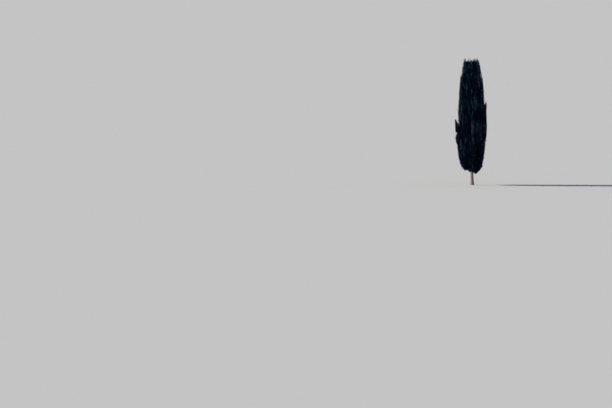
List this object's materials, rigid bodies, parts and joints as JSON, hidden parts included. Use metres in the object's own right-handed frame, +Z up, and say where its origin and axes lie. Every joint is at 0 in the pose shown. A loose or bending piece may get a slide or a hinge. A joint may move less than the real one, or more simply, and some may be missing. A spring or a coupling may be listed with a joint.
{
  "type": "pencil cypress tree",
  "caption": "Tall columnar evergreen with upright plumes of scale foliage, a broad ragged top and a short bare trunk.",
  "frame": {"origin": "middle of the flat cut under the trunk, at ground level", "axes": "+Z up along the trunk, +X to the right of the tree as the picture shows it, +Y away from the viewer"},
  "size_m": [2.9657, 2.7047, 12],
  "materials": {
    "bark": "matt, fibrous grey-brown bark",
    "foliage": "matt, dark blue-green scale foliage"
  },
  "bodies": {
    "root": {"bough_lower_0": "bark", "bough_lower_120": "bark", "bough_lower_180": "bark", "bough_lower_240": "bark", "bough_lower_300": "bark", "bough_lower_60": "bark", "bough_middle_150": "bark", "bough_middle_210": "bark", "bough_middle_270": "bark", "bough_middle_30": "bark", "bough_middle_330": "bark", "bough_middle_90": "bark", "bough_skirt_105": "bark", "bough_skirt_165": "bark", "bough_skirt_225": "bark", "bough_skirt_285": "bark", "bough_skirt_345": "bark", "bough_skirt_45": "bark", "bough_upper_0": "bark", "bough_upper_120": "bark", "bough_upper_180": "bark", "bough_upper_240": "bark", "bough_upper_300": "bark", "bough_upper_60": "bark", "plume_leader_150": "foliage", "plume_leader_210": "foliage", "plume_leader_270": "foliage", "plume_leader_30": "foliage", "plume_leader_330": "foliage", "plume_leader_90": "foliage", "plume_lower_0": "foliage", "plume_lower_120": "foliage", "plume_lower_180": "foliage", "plume_lower_240": "foliage", "plume_lower_300": "foliage", "plume_lower_60": "foliage", "plume_middle_150": "foliage", "plume_middle_210": "foliage", "plume_middle_270": "foliage", "plume_middle_30": "foliage", "plume_middle_330": "foliage", "plume_middle_90": "foliage", "plume_skirt_105": "foliage", "plume_skirt_165": "foliage", "plume_skirt_225": "foliage", "plume_skirt_285": "foliage", "plume_skirt_345": "foliage", "plume_skirt_45": "foliage", "plume_upper_0": "foliage", "plume_upper_120": "foliage", "plume_upper_180": "foliage", "plume_upper_240": "foliage", "plume_upper_300": "foliage", "plume_upper_60": "foliage", "trunk": "bark"}
  },
  "joints": []
}
